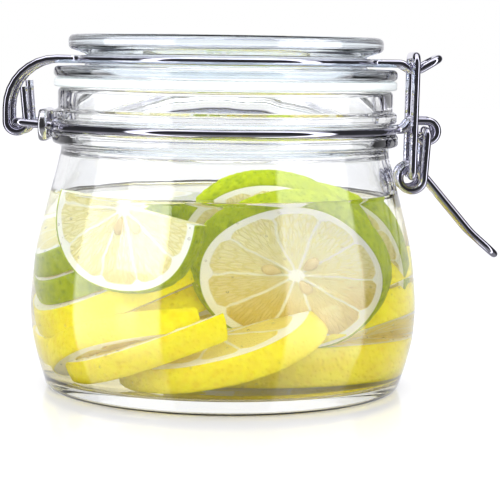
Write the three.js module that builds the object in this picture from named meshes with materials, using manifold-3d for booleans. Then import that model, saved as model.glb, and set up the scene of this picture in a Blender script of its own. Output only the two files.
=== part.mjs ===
// A wire-bail storage jar of pressed glass, shut, with slices of lemon and lime inside.
// Millimetres, +Z up, +X from the hinge towards the latch. The origin is on the jar's axis, on the
// plane that it stands on.

import * as THREE from 'three';
import { mergeVertices } from 'three/addons/utils/BufferGeometryUtils.js';
import Module from 'manifold-3d';

const wasm = await Module();
wasm.setup();

// Driving dimensions of the glass
const BODY_R = 55;            // widest radius of the jar
const WALL = 3.2;             // thickness of its wall
const BASE_T = 4.5;           // thickness of its bottom
const NECK_R = 46.7;          // outside of the neck, below the beads and in the groove
const MOUTH_R = 43.2;         // inside of the neck
const LIP_Z = 84.9;           // top of the lip
const LIP_R = 47.5;
const LOWER_BEAD = { r: 49.1, low: 69.2, high: 72.7 };
const UPPER_BEAD = { r: 48.7, low: 76.1, high: 78.8 };
const LID_R = 48.7;           // flange of the lid
const LID_FLANGE = { low: 87.7, high: 90.9 };
const LID_GROOVE_R = 39.8;
const LID_TOP = { r: 44.6, low: 95.9, high: 99.8 };
const LID_THICK = 5.4;        // glass over the hollow of the lid
const PLUG = { r: 41.6, z: 86.2, wall: 4.2 };
const RIM_WIDTH = 8;          // raised rim round the shallow dish on top of the lid
const DISH_DEPTH = 1.2;
const GASKET = { inside: 42.3, outside: 48.5, low: 85.2, high: 87.55 };
const ROUND_SIDES = 44;
const OUTLINE_STEP = Math.PI / 3.5; // one station for each 51 degrees of a rounded edge of glass

// Driving dimensions of the wirework
const WIRE_R = 1.15;
const WIRE_SIDES = 8;
const TURN_STEP = Math.PI / 6; // one station for each 30 degrees of a tight bend of wire
const HINGE = { x: -58.7, z: 75.1, halfWidth: 9.5 };
const HOOK_R = 2.86;          // bend of the hooks and of the eyes, at the middle of the wire
const HOOK_Y = 6.5;
const NECK_WIRE = { r: 48.3, z: 74.1 };
const LID_WIRE = { r: 41.4, z: 92.8 };
const EYE = { x: 57.0, z: 73.9, y: 5.5 };
const ARM_Y = 8.1;            // arms of the lever, outside the eyes
const COIL = { x: 52.8, z: 60.6, r: 3.36 };
const HANDLE_Y = 5.5;
const HANDLE_BEND = { x: 70.0, z: 45.4 };
const HANDLE_END = { x: 77.3, z: 39.0 };
const LINK = { y: 10.65, topX: 53.2, topZ: 94.95, pinX: 52.75, pinZ: 61.3 };
const TONGUE = { restX: 53, restZ: 91.05, tipX: 59.9, tipZ: 94.3 };
const CLIP = { x: -51, thick: 2.4, halfWidth: 12.2, halfHeight: 4.6, strap: 1.1 };

// Driving dimensions of the fruit: the lean of the two stacks and where their lowest slices lie
const LEFT_LEAN = [-0.43, 0.03, 0.9];
const RIGHT_LEAN = [0.03, -0.84, -0.54];
const LEFT_FOOT = [-20, -2.5, 29];
const RIGHT_FRONT = [17.6, -23, 36];
const END_CUT = [0.75, 0.66, 0];   // the way that the cut-off ends of the two short lemon slices look
const FLOAT_CUT = [0.2, 0, 1];     // the same for the half lime that floats at the left
const SLICE_SIDES = 13;
const CORE = { r: 20, low: 8, high: 32 };
const HEAP_GAP = 0.5;         // between the fruit and the glass

const glass = () => new THREE.MeshStandardMaterial({
  color: 0xe9f3f1, roughness: 0.03, metalness: 0, transparent: true, opacity: 0.35,
});
const steel = () => new THREE.MeshStandardMaterial({ color: 0xc9ccd2, roughness: 0.15, metalness: 1 });
const silicone = () => new THREE.MeshStandardMaterial({ color: 0xe6e9e6, roughness: 0.45, metalness: 0 });
const fruit = () => new THREE.MeshStandardMaterial({ color: 0xe3d23c, roughness: 0.5, metalness: 0 });

// Replaces each corner that has a radius by an arc that touches both of its sides.
function bent(corners, turnStep = TURN_STEP) {
  const stations = [];
  corners.forEach(({ at, radius = 0 }, i) => {
    if (radius === 0 || i === 0 || i === corners.length - 1) {
      stations.push(at.clone());
      return;
    }
    const back = corners[i - 1].at.clone().sub(at).normalize();
    const on = corners[i + 1].at.clone().sub(at).normalize();
    const turn = Math.PI - back.angleTo(on);
    const reach = radius * Math.tan(turn / 2);
    const middle = back.clone().add(on).normalize().multiplyScalar(radius / Math.cos(turn / 2)).add(at);
    const start = back.clone().multiplyScalar(reach).add(at).sub(middle);
    const end = on.clone().multiplyScalar(reach).add(at).sub(middle);
    const steps = Math.max(1, Math.ceil(turn / turnStep));
    for (let k = 0; k <= steps; k += 1) {
      const u = k / steps;
      const spot = start.clone().multiplyScalar(Math.sin((1 - u) * turn))
        .addScaledVector(end, Math.sin(u * turn)).divideScalar(Math.sin(turn));
      stations.push(spot.add(middle));
    }
  });
  return stations;
}

const corner = (x, y, z, radius) => ({ at: new THREE.Vector3(x, y, z), radius });

// Points of an arc in an upright plane along X, at a constant or a moving Y. Angles are in degrees
// from +X towards +Z.
function uprightArc(x, z, r, from, to, yFrom, yTo = yFrom) {
  const steps = Math.ceil(Math.abs(to - from) * Math.PI / 180 / TURN_STEP);
  return Array.from({ length: steps + 1 }, (_, k) => {
    const u = k / steps;
    const a = THREE.MathUtils.degToRad(from + (to - from) * u);
    return corner(x + r * Math.cos(a), yFrom + (yTo - yFrom) * u, z + r * Math.sin(a));
  });
}

// Points of the near half of a level ring, from the left strand to the right one, without the two
// corners where the strands leave it.
function nearHalfRing(r, z, leftY, rightY, spare) {
  const from = Math.PI + Math.asin((leftY + spare) / r);
  const to = 2 * Math.PI - Math.asin((rightY + spare) / r);
  const steps = Math.ceil((to - from) / (2 * Math.PI) * ROUND_SIDES);
  return Array.from({ length: steps + 1 }, (_, k) => {
    const a = from + (to - from) * k / steps;
    return corner(r * Math.cos(a), r * Math.sin(a), z);
  });
}

// The rest of a wire that is the same on the far side: the near half, then its mirror image.
function mirrored(half, farHalf = half) {
  const far = farHalf.map((p) => new THREE.Vector3(p.x, -p.y, p.z)).reverse();
  return [...half, ...far];
}

// A path whose stations are taken one by one, so that bends get as many as they need.
class BentWire extends THREE.Curve {
  constructor(stations) {
    super();
    this.stations = stations;
  }

  getPoint(t, target = new THREE.Vector3()) {
    const last = this.stations.length - 1;
    const i = Math.min(Math.floor(t * last + 1e-6), last - 1);
    return target.lerpVectors(this.stations[i], this.stations[i + 1], t * last - i);
  }

  getPointAt(u, target) {
    return this.getPoint(u, target);
  }

  getTangentAt(u, target = new THREE.Vector3()) {
    const last = this.stations.length - 1;
    const i = Math.round(u * last);
    const here = this.stations[i];
    const before = this.stations[Math.max(i - 1, 0)];
    const after = this.stations[Math.min(i + 1, last)];
    target.set(0, 0, 0);
    if (i > 0) target.add(here.clone().sub(before).normalize());
    if (i < last) target.add(after.clone().sub(here).normalize());
    return target.normalize();
  }
}

// A closed geometry with shared corners and no flat triangles.
function closed(geometry) {
  geometry.deleteAttribute('normal');
  geometry.deleteAttribute('uv');
  const merged = mergeVertices(geometry, 1e-4);
  const index = Array.from(merged.index.array);
  const kept = [];
  for (let i = 0; i < index.length; i += 3) {
    const [a, b, c] = index.slice(i, i + 3);
    if (a !== b && b !== c && c !== a) kept.push(a, b, c);
  }
  merged.setIndex(kept);
  return merged;
}

function wire(stations) {
  const section = new THREE.Shape();
  for (let k = 0; k < WIRE_SIDES; k += 1) {
    const a = 2 * Math.PI * (k + 0.5) / WIRE_SIDES;
    const place = [WIRE_R * Math.cos(a), WIRE_R * Math.sin(a)];
    if (k === 0) section.moveTo(...place);
    else section.lineTo(...place);
  }
  const path = new BentWire(stations);
  return closed(new THREE.ExtrudeGeometry(section, { extrudePath: path, steps: stations.length - 1 }));
}

// Turns an outline of [radius, height, corner radius] round the Z axis.
function turned(outline) {
  const points = bent(outline.map(([r, z, radius]) => corner(r, 0, z, radius)), OUTLINE_STEP)
    .map((p) => new THREE.Vector2(p.x, p.z));
  return closed(new THREE.LatheGeometry(points, ROUND_SIDES).rotateX(Math.PI / 2));
}

// The jar's side between its heel and its neck, as radius against height.
const SIDE = new THREE.SplineCurve([
  new THREE.Vector2(BODY_R - 2.1, 8.3),
  new THREE.Vector2(BODY_R - 0.5, 15.5),
  new THREE.Vector2(BODY_R, 24.6),
  new THREE.Vector2(BODY_R - 1.1, 37.1),
  new THREE.Vector2(BODY_R - 2.6, 44.6),
  new THREE.Vector2(BODY_R - 5.1, 54.6),
  new THREE.Vector2(BODY_R - 6.8, 60.6),
  new THREE.Vector2(NECK_R, 67),
]);
const SIDE_STEPS = 9;
const HEEL_R = 50.4;
const HEEL_ROUND = 2.4;
const INNER_HEEL_ROUND = 3;

function jarGlass() {
  const side = SIDE.getPoints(SIDE_STEPS);
  const inside = [...side].reverse().map((p) => [Math.max(p.x - WALL, 0), p.y]);
  inside[0][0] = MOUTH_R;
  return turned([
    [0, 0],
    [HEEL_R, 0, HEEL_ROUND],
    ...side.map((p) => [p.x, p.y]),
    [NECK_R, LOWER_BEAD.low - 0.4],
    [LOWER_BEAD.r, LOWER_BEAD.low + 0.4, 0.9],
    [LOWER_BEAD.r, LOWER_BEAD.high, 0.9],
    [NECK_R, LOWER_BEAD.high + 0.3],
    [NECK_R, UPPER_BEAD.low - 0.5],
    [UPPER_BEAD.r, UPPER_BEAD.low, 0.8],
    [UPPER_BEAD.r, UPPER_BEAD.high - 0.3, 0.8],
    [LIP_R, UPPER_BEAD.high + 0.4],
    [LIP_R, LIP_Z, 1.1],
    [MOUTH_R, LIP_Z, 1.5],
    ...inside,
    [HEEL_R - WALL + 0.6, BASE_T, INNER_HEEL_ROUND],
    [0, BASE_T],
  ]);
}

function lidGlass() {
  const hollowTop = LID_TOP.high - DISH_DEPTH - LID_THICK;
  return turned([
    [0, hollowTop],
    [PLUG.r - PLUG.wall - 2, hollowTop, 3],
    [PLUG.r - PLUG.wall, PLUG.z, 0.6],
    [PLUG.r, PLUG.z, 0.6],
    [PLUG.r, LID_FLANGE.low],
    [LID_R, LID_FLANGE.low, 1.3],
    [LID_R, LID_FLANGE.high, 1.3],
    [LID_GROOVE_R, LID_FLANGE.high + 0.3, 0.6],
    [LID_GROOVE_R, LID_TOP.low - 1.5, 0.6],
    [LID_TOP.r, LID_TOP.low, 1.5],
    [LID_TOP.r, LID_TOP.high, 1.6],
    [LID_TOP.r - RIM_WIDTH, LID_TOP.high, 2],
    [LID_TOP.r - RIM_WIDTH - 3, LID_TOP.high - DISH_DEPTH, 2],
    [0, LID_TOP.high - DISH_DEPTH],
  ]);
}

function gasketRing() {
  return turned([
    [GASKET.inside, GASKET.low],
    [GASKET.outside, GASKET.low],
    [GASKET.outside + 0.2, (GASKET.low + GASKET.high) / 2],
    [GASKET.outside, GASKET.high],
    [GASKET.inside, GASKET.high],
    [GASKET.inside, GASKET.low],
  ]);
}

// One wire: a free end, a hook round the hinge bar, up and over to the groove of the lid, half-way
// round it, out along the tongue that the latch holds down, and the same back on the far side.
function lidWire() {
  const legX = HINGE.x - HOOK_R;
  const half = (endZ) => bent([
    corner(HINGE.x + HOOK_R - 0.9, -HOOK_Y, endZ),
    ...uprightArc(HINGE.x, HINGE.z, HOOK_R, 0, -180, -HOOK_Y),
    corner(legX, -HOOK_Y, LID_WIRE.z + 0.2, 14),
    corner(-Math.sqrt(LID_WIRE.r ** 2 - HOOK_Y ** 2), -HOOK_Y, LID_WIRE.z, 3),
    ...nearHalfRing(LID_WIRE.r, LID_WIRE.z, HOOK_Y, HOOK_Y, 3.4),
    corner(Math.sqrt(LID_WIRE.r ** 2 - HOOK_Y ** 2), -HOOK_Y, LID_WIRE.z, 3),
    corner(TONGUE.restX - 3.6, -HOOK_Y, LID_WIRE.z, 3),
    corner(TONGUE.restX - 0.6, -HOOK_Y, TONGUE.restZ, 2),
    corner(TONGUE.restX + 1.4, -HOOK_Y, TONGUE.restZ, 3),
    corner(TONGUE.tipX, -HOOK_Y, TONGUE.tipZ, 3),
    corner(TONGUE.tipX, 0, TONGUE.tipZ),
  ]).slice(0, -1);
  return wire(mirrored(half(LIP_Z), half(LIP_Z + 1.7)));
}

// One wire: an eye for the lever, half-way round the neck, the loop that the lid hinges on, and the
// same back on the far side.
function neckWire() {
  const exitX = Math.sqrt(NECK_WIRE.r ** 2 - EYE.y ** 2);
  const loopX = Math.sqrt(NECK_WIRE.r ** 2 - HINGE.halfWidth ** 2);
  const half = bent([
    ...uprightArc(EYE.x, EYE.z, HOOK_R, -140, 90, -EYE.y),
    corner(exitX + 4.5, -EYE.y, EYE.z + HOOK_R, 2),
    corner(exitX + 2.6, -EYE.y, NECK_WIRE.z + 0.2, 2),
    corner(exitX, -EYE.y, NECK_WIRE.z, 2.2),
    ...nearHalfRing(NECK_WIRE.r, NECK_WIRE.z, HINGE.halfWidth, EYE.y, 3).reverse(),
    corner(-loopX, -HINGE.halfWidth, NECK_WIRE.z, 2.4),
    corner(HINGE.x, -HINGE.halfWidth, HINGE.z, 2.4),
    corner(HINGE.x, 0, HINGE.z),
  ]).slice(0, -1);
  return wire(mirrored(half));
}

// A strap bent round both strands of the hinge loop, close to the glass.
function hingeClip() {
  const stadium = (shape, halfWidth, halfHeight) => {
    const straight = halfWidth - halfHeight;
    shape.absarc(straight, 0, halfHeight, -Math.PI / 2, Math.PI / 2, false);
    shape.absarc(-straight, 0, halfHeight, Math.PI / 2, 1.5 * Math.PI, false);
    return shape;
  };
  const outline = stadium(new THREE.Shape(), CLIP.halfWidth, CLIP.halfHeight);
  outline.holes.push(stadium(new THREE.Path(), CLIP.halfWidth - CLIP.strap, CLIP.halfHeight - CLIP.strap));
  return closed(new THREE.ExtrudeGeometry(outline, {
    depth: CLIP.thick, bevelEnabled: false, curveSegments: 8,
  }).translate(0, 0, -CLIP.thick / 2).rotateY(Math.PI / 2).rotateX(Math.PI / 2));
}

// One wire: an end that turns in the eye, an arm, a turn round the link's pin, the handle, and back.
function latchLever() {
  const away = Math.atan2(HANDLE_BEND.x - COIL.x, COIL.z - HANDLE_BEND.z);
  const leave = THREE.MathUtils.radToDeg(away) - 360;
  const half = bent([
    corner(EYE.x, -EYE.y + 2.9, EYE.z),
    corner(EYE.x, -ARM_Y, EYE.z, 1.5),
    ...uprightArc(COIL.x, COIL.z, COIL.r, -3, leave + 8, -ARM_Y, -HANDLE_Y),
    corner(HANDLE_BEND.x, -HANDLE_Y, HANDLE_BEND.z, 20),
    corner(HANDLE_END.x, -HANDLE_Y, HANDLE_END.z, 4.4),
    corner(HANDLE_END.x, 0, HANDLE_END.z),
  ]).slice(0, -1);
  return wire(mirrored(half));
}

// One wire: a pin through each turn of the lever, a strand outside it, and a bar over the tongue.
function latchLink() {
  const half = bent([
    corner(LINK.pinX, -HANDLE_Y + 2.4, LINK.pinZ),
    corner(LINK.pinX, -LINK.y, LINK.pinZ, 1.5),
    corner(LINK.topX, -LINK.y, LINK.topZ, 2.6),
    corner(LINK.topX, 0, LINK.topZ),
  ]).slice(0, -1);
  return wire(mirrored(half));
}

// A slice of fruit: a short cylinder, or what is left of one where a plane cuts its end off.
function slice({ at, facing, r, thick, cut, cutAt = 0 }) {
  const outline = [
    new THREE.Vector2(0, -thick / 2),
    new THREE.Vector2(r, -thick / 2),
    new THREE.Vector2(r, thick / 2),
    new THREE.Vector2(0, thick / 2),
  ];
  const turn = new THREE.Quaternion().setFromUnitVectors(
    new THREE.Vector3(0, 1, 0), new THREE.Vector3(...facing).normalize(),
  );
  const place = new THREE.Matrix4().compose(new THREE.Vector3(...at), turn, new THREE.Vector3(1, 1, 1));
  const whole = manifold(closed(new THREE.LatheGeometry(outline, SLICE_SIDES))).transform(place.elements);
  if (!cut) return whole;
  const away = new THREE.Vector3(...cut).normalize();
  const reach = away.dot(new THREE.Vector3(...at)) + cutAt;
  return whole.trimByPlane(away.negate().toArray(), -reach);
}

function manifold(geometry) {
  return new wasm.Manifold(new wasm.Mesh({
    numProp: 3,
    vertProperties: new Float32Array(geometry.attributes.position.array),
    triVerts: new Uint32Array(geometry.index.array),
  }));
}

function fromManifold(solid) {
  const mesh = solid.getMesh();
  const geometry = new THREE.BufferGeometry();
  geometry.setAttribute('position', new THREE.BufferAttribute(new Float32Array(mesh.vertProperties), 3));
  geometry.setIndex(Array.from(mesh.triVerts));
  return geometry;
}

// A place along a stack of slices, and a little aside of it.
function stacked(foot, lean, distance, aside = [0, 0, 0]) {
  return new THREE.Vector3(...foot)
    .addScaledVector(new THREE.Vector3(...lean).normalize(), distance)
    .add(new THREE.Vector3(...aside)).toArray();
}

// The slices as they lie, lemons first and then limes. at is the middle of a slice, facing is where
// its cut face looks, r and thick are its size.
const SLICES = [
  { at: [15, 13, 10.2], facing: [0, 0, 1], r: 27, thick: 10 },
  { at: [0, -18.5, 15.6], facing: [-0.26, -0.19, 0.945], r: 24, thick: 6.6 },
  { at: [-13, -17, 16.8], facing: [-0.36, 0.02, 0.93], r: 25, thick: 6.6, cut: END_CUT, cutAt: -2.4 },
  { at: [-18, -12, 15.8], facing: [-0.14, 0.3, 0.945], r: 24, thick: 6.4, cut: END_CUT, cutAt: -2.6 },
  { at: stacked(LEFT_FOOT, LEFT_LEAN, -7.6, [2, 9, 0]), facing: LEFT_LEAN, r: 25, thick: 7 },
  { at: LEFT_FOOT, facing: LEFT_LEAN, r: 25, thick: 7 },
  { at: [28, 6, 19.5], facing: [-0.3, 0.12, 0.945], r: 20.5, thick: 8 },
  { at: [29, 4.5, 27.8], facing: [-0.38, 0.12, 0.915], r: 19.5, thick: 7.5 },
  { at: stacked(LEFT_FOOT, LEFT_LEAN, 7.5), facing: LEFT_LEAN, r: 22.5, thick: 7 },
  { at: stacked(LEFT_FOOT, LEFT_LEAN, 15.2), facing: LEFT_LEAN, r: 22, thick: 7 },
  { at: [-23.4, -28, 52], facing: [-0.52, -0.85, 0.04], r: 22.4, thick: 5.4, cut: FLOAT_CUT, cutAt: 0.5 },
  { at: RIGHT_FRONT, facing: RIGHT_LEAN, r: 24.6, thick: 5.6 },
  { at: [12.5, -14.5, 42.2], facing: RIGHT_LEAN, r: 23.6, thick: 5.6 },
  { at: [24, -6, 39], facing: [-0.08, -0.84, -0.53], r: 22.5, thick: 6 },
  { at: [2, 12, 31], facing: [0.1, -0.8, -0.55], r: 22, thick: 6 },
];

function citrus() {
  const core = manifold(turned([
    [0, CORE.low],
    [CORE.r, CORE.low, 3],
    [CORE.r * 0.6, CORE.high, 6],
    [0, CORE.high],
  ]));
  const room = manifold(turned([
    [0, BASE_T + HEAP_GAP],
    [HEEL_R - WALL - HEAP_GAP, BASE_T + HEAP_GAP, INNER_HEEL_ROUND],
    ...SIDE.getPoints(1).map((p) => [p.x - WALL - HEAP_GAP, p.y]),
    [0, SIDE.points.at(-1).y],
  ]));
  const heap = SLICES.reduce((whole, each) => whole.add(slice(each)), core).intersect(room);
  const pieces = heap.decompose().filter((piece) => piece.volume() > 0); // not the gaps shut inside it
  if (pieces.length > 1) throw new Error('a slice lies loose');
  return fromManifold(pieces[0]);
}

const group = new THREE.Group();
function add(name, geometry, material) {
  const mesh = new THREE.Mesh(geometry, material);
  mesh.name = name;
  group.add(mesh);
}

add('jar_glass', jarGlass(), glass());
add('neck_wire', neckWire(), steel());
add('hinge_clip', hingeClip().translate(CLIP.x, 0, (NECK_WIRE.z + HINGE.z) / 2 - 0.3), steel());
add('citrus_slices', citrus(), fruit());
add('lid_glass', lidGlass(), glass());
add('gasket', gasketRing(), silicone());
add('lid_wire', lidWire(), steel());
add('latch_lever', latchLever(), steel());
add('latch_link', latchLink(), steel());

export default group;
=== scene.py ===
# %% [markdown]
# # A shut wire-bail jar with lemon and lime slices
#
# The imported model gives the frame: the glass, the four bent wires, the clip, the gasket and a plain heap
# that stands for the fruit. This script gives each of them its finished surface. The jar and its lid are
# turned shapes, the wirework is round wire swept along its bends, and the fruit is cut slice by slice.

# %% Load the fixed frame
import math
import random

import bmesh
import bpy
import numpy as np
from mathutils import Matrix, Vector


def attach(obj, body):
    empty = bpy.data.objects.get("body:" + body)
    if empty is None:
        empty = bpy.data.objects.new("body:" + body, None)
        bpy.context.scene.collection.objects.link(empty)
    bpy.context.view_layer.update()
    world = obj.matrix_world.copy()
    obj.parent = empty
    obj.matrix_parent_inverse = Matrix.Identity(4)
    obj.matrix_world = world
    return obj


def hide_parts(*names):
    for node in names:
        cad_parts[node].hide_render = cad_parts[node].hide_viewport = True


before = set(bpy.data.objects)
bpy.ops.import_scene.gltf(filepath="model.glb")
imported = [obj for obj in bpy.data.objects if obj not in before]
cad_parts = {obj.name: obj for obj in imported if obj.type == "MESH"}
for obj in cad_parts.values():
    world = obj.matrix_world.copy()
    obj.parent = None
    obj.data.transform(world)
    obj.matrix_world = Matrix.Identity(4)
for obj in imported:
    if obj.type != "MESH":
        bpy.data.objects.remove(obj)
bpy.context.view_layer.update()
MM = 0.001


def placed(name, data):
    """A new object in the scene that shows data, which is a mesh, a curve, a lamp or a camera."""
    made = bpy.data.objects.new(name, data)
    bpy.context.scene.collection.objects.link(made)
    return made


# %% [markdown]
# The camera stands about half a metre from the jar, level with its lid and tilted down six degrees, as a
# product photographer's tripod would. It could be aimed with a constraint, but a few plain numbers say the
# same and can't drift: distance, height, a step aside, the tilt and the small roll of the photograph.

# %% Camera
CAMERA_DISTANCE = 520 * MM
CAMERA_HEIGHT = 93.8 * MM
CAMERA_ASIDE = 7.5 * MM
CAMERA_TILT = math.radians(6.02)
CAMERA_ROLL = math.radians(0.8)
FOCAL_MM = 131.1
SENSOR_MM = 36

camera = placed("camera", bpy.data.cameras.new("camera"))
camera.data.lens = FOCAL_MM
camera.data.sensor_width = SENSOR_MM
camera.data.clip_start = 10 * MM
camera.matrix_world = (
    Matrix.Translation((CAMERA_ASIDE, -CAMERA_DISTANCE, CAMERA_HEIGHT))
    @ Matrix.Rotation(math.pi / 2 - CAMERA_TILT, 4, "X")
    @ Matrix.Rotation(CAMERA_ROLL, 4, "Z")
)
bpy.context.scene.camera = camera
print("camera at", [round(c / MM) for c in camera.matrix_world.translation], "mm")

# %% [markdown]
# Every shape here starts as an outline with a few corners, each with its own radius. One helper rounds
# the corners off: it is used for the outline of the glass and for the bends of the wires alike, because
# both are a run of straights and arcs.

# %% Rounded paths
BEND_STEP_DEG = 12
STRAIGHT_RAD = 1e-4


def rounded(corners, step_deg=BEND_STEP_DEG):
    """Points of a path of (x, y, z, radius) corners, with each corner bent to its radius."""
    spots = [np.array(c[:3], float) for c in corners]
    radii = [c[3] if len(c) > 3 else 0 for c in corners]
    out = []
    for i, (spot, radius) in enumerate(zip(spots, radii)):
        if radius == 0 or i in (0, len(spots) - 1):
            out.append(spot)
            continue
        back = spots[i - 1] - spot
        on = spots[i + 1] - spot
        back, on = back / np.linalg.norm(back), on / np.linalg.norm(on)
        turn = math.pi - math.acos(float(np.clip(back @ on, -1, 1)))
        if turn < STRAIGHT_RAD:
            out.append(spot)
            continue
        half = (back + on) / np.linalg.norm(back + on)
        middle = spot + half * radius / math.cos(turn / 2)
        start = spot + back * radius * math.tan(turn / 2) - middle
        end = spot + on * radius * math.tan(turn / 2) - middle
        steps = max(2, math.ceil(math.degrees(turn) / step_deg))
        for k in range(steps + 1):
            u = k / steps
            spoke = start * math.sin((1 - u) * turn) + end * math.sin(u * turn)
            out.append(middle + spoke / math.sin(turn))
    return np.array(out)


def smooth_side(stations, per_span=6):
    """A soft curve through (radius, height) stations, for a blown or pressed side."""
    out = []
    p = [np.array(s, float) for s in stations]
    for i in range(len(p) - 1):
        a, b, c, d = p[max(i - 1, 0)], p[i], p[i + 1], p[min(i + 2, len(p) - 1)]
        for k in range(per_span):
            t = k / per_span
            out.append(0.5 * (2 * b + (c - a) * t + (2 * a - 5 * b + 4 * c - d) * t ** 2
                              + (3 * b - a - 3 * c + d) * t ** 3))
    return [tuple(q) for q in out + [p[-1]]]


# %% [markdown]
# Turned glass could be a Screw modifier on a curve. Here the outline is revolved in code instead, because
# the ends of each outline lie on the axis: a fan of triangles closes them with one shared point, and the
# result is one sealed skin, which refraction needs.

# %% Turning an outline into a mesh
TURN_SIDES = 144
OUTLINE_STEP_DEG = 15


def new_piece(name, verts, faces, material, smooth_deg=180):
    mesh = bpy.data.meshes.new(name)
    mesh.from_pydata([tuple(v) for v in verts], [], faces)
    mesh.validate()
    mesh.materials.append(material)
    piece = placed(name, mesh)
    mesh.polygons.foreach_set("use_smooth", [True] * len(mesh.polygons))
    if smooth_deg < 180:
        mesh.set_sharp_from_angle(angle=math.radians(smooth_deg))
    return piece


def turned(name, outline, material, closed=False, sides=TURN_SIDES):
    """Revolves (radius, height, corner radius) in millimetres round Z, from under the axis to above it."""
    points = rounded([(r, 0, z, *rest) for r, z, *rest in outline], OUTLINE_STEP_DEG)[:, [0, 2]]
    verts, rings = [], []
    for r, z in points:
        if r == 0:
            rings.append([len(verts)])
            verts.append((0, 0, z * MM))
            continue
        rings.append(list(range(len(verts), len(verts) + sides)))
        verts += [(r * MM * math.cos(2 * math.pi * k / sides),
                   r * MM * math.sin(2 * math.pi * k / sides), z * MM) for k in range(sides)]
    if closed:
        rings[-1] = rings[0]
        verts = verts[: len(verts) - sides]
    faces = []
    for low, high in zip(rings, rings[1:]):
        for k in range(sides):
            on = (k + 1) % sides
            if len(low) == 1:
                faces.append((low[0], high[on], high[k]))
            elif len(high) == 1:
                faces.append((low[k], low[on], high[0]))
            else:
                faces.append((low[k], low[on], high[on], high[k]))
    return new_piece(name, verts, faces, material)


# %% [markdown]
# Fine scratches and a breath of unevenness are on every hard surface, so they are one node group with
# its own inputs. It gives a small random value that feeds Roughness and a height that feeds a Bump. The
# shader itself stays in each material.

# %% Shared node group: handling marks
def group_tree(name, inputs, outputs):
    """An empty group of shader nodes whose inputs and outputs are plain numbers."""
    tree = bpy.data.node_groups.new(name, "ShaderNodeTree")
    for label, value in inputs.items():
        socket = tree.interface.new_socket(label, in_out="INPUT", socket_type="NodeSocketFloat")
        socket.default_value = value
    for label in outputs:
        tree.interface.new_socket(label, in_out="OUTPUT", socket_type="NodeSocketFloat")
    return tree, tree.nodes.new("NodeGroupInput"), tree.nodes.new("NodeGroupOutput")


class Wiring:
    """Short names for making and joining nodes in one tree."""

    def __init__(self, tree):
        self.tree = tree

    def node(self, kind, inputs=None, **settings):
        made = self.tree.nodes.new(kind)
        for key, value in settings.items():
            setattr(made, key, value)
        for key, value in (inputs or {}).items():
            self.feed(made.inputs[key], value)
        return made

    def feed(self, socket, value):
        if isinstance(value, bpy.types.NodeSocket):
            self.tree.links.new(value, socket)
        else:
            socket.default_value = value

    def place(self):
        """Where a point lies in its own object, which stays the same when a body moves."""
        return self.node("ShaderNodeTexCoord").outputs["Object"]

    def split(self, vector):
        return self.node("ShaderNodeSeparateXYZ", {"Vector": vector}).outputs

    def noise(self, vector, scale, detail):
        inputs = {"Vector": vector, "Scale": scale, "Detail": detail}
        return self.node("ShaderNodeTexNoise", inputs).outputs["Fac"]

    def math(self, operation, *values):
        made = self.node("ShaderNodeMath", operation=operation)
        for socket, value in zip(made.inputs, values):
            self.feed(socket, value)
        return made.outputs[0]

    def product(self, first, *others):
        for other in others:
            first = self.math("MULTIPLY", first, other)
        return first

    def total(self, first, *others):
        for other in others:
            first = self.math("ADD", first, other)
        return first

    def less(self, value, taken):
        return self.math("SUBTRACT", value, taken)

    def ramp(self, value, low, high, to_low=0.0, to_high=1.0):
        """Goes softly from to_low to to_high while value goes from low to high."""
        inputs = {"Value": value, "From Min": low, "From Max": high, "To Min": to_low, "To Max": to_high}
        return self.node("ShaderNodeMapRange", inputs, interpolation_type="SMOOTHSTEP").outputs["Result"]

    def mix(self, factor, a, b):
        """Goes from colour a to colour b, each of them a socket or three numbers."""
        made = self.node("ShaderNodeMix", {"Factor": factor}, data_type="RGBA")
        for key, colour in (("A", a), ("B", b)):
            self.feed(made.inputs[key], (*colour, 1) if isinstance(colour, tuple) else colour)
        return made.outputs["Result"]


BROAD_MARKS = 60.0


def marks_group():
    tree, given, out = group_tree(
        "handling marks",
        {"Size": 900.0, "Roughness": 0.08, "Spread": 0.05},
        ("Roughness", "Height"),
    )
    w = Wiring(tree)
    place = w.place()
    both = w.product(w.noise(place, given.outputs["Size"], 4.0), w.noise(place, BROAD_MARKS, 2.0))
    w.feed(out.inputs["Roughness"], w.math("MULTIPLY_ADD", both, given.outputs["Spread"],
                                           given.outputs["Roughness"]))
    w.feed(out.inputs["Height"], both)
    return tree


MARKS = marks_group()
MARK_DEPTH = 0.1 * MM


def new_material(name, constants):
    """A material with these constants on its shader, that shader, and the wiring of the tree."""
    material = bpy.data.materials.new(name)
    material.use_nodes = True
    shader = material.node_tree.nodes["Principled BSDF"]
    for label, value in constants.items():
        shader.inputs[label].default_value = value
    return material, shader, Wiring(material.node_tree)


def add_bump(w, shader, height, strength, depth):
    bump = w.node("ShaderNodeBump", {"Strength": strength, "Distance": depth, "Height": height})
    w.feed(shader.inputs["Normal"], bump.outputs["Normal"])


def add_marks(w, shader, size, roughness, spread, bump):
    values = {"Size": size, "Roughness": roughness, "Spread": spread}
    marks = w.node("ShaderNodeGroup", values, node_tree=MARKS)
    w.feed(shader.inputs["Roughness"], marks.outputs["Roughness"])
    add_bump(w, shader, marks.outputs["Height"], bump, MARK_DEPTH)


# %% [markdown]
# Pressed glass is never quite even: it has long soft waves left by the mould. The clear glass is a plain
# Principled shader with full transmission and the index of window glass. The waves are a weak bump. The
# lid is thicker, so its glass carries the blue-green tint that such glass shows at its edges.

# %% Glass, liquid and silicone
GLASS_INDEX = 1.5
LIQUID_INDEX = 1.33
SILICONE_INDEX = 1.41
CLEAR = {"Transmission Weight": 1.0, "Roughness": 0.0}
WAVE_STRETCH = (1.0, 1.0, 0.35)
WAVE_DEPTH = 1.0 * MM
NECK_WAVES_Z = (53 * MM, 64 * MM)
BODY_WAVES = 0.25
# Below these heights the liquid is painted golden: painted light and shade from the lemons low in the jar.
PAINTED_GOLD_Z = (12 * MM, 46 * MM)


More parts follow.
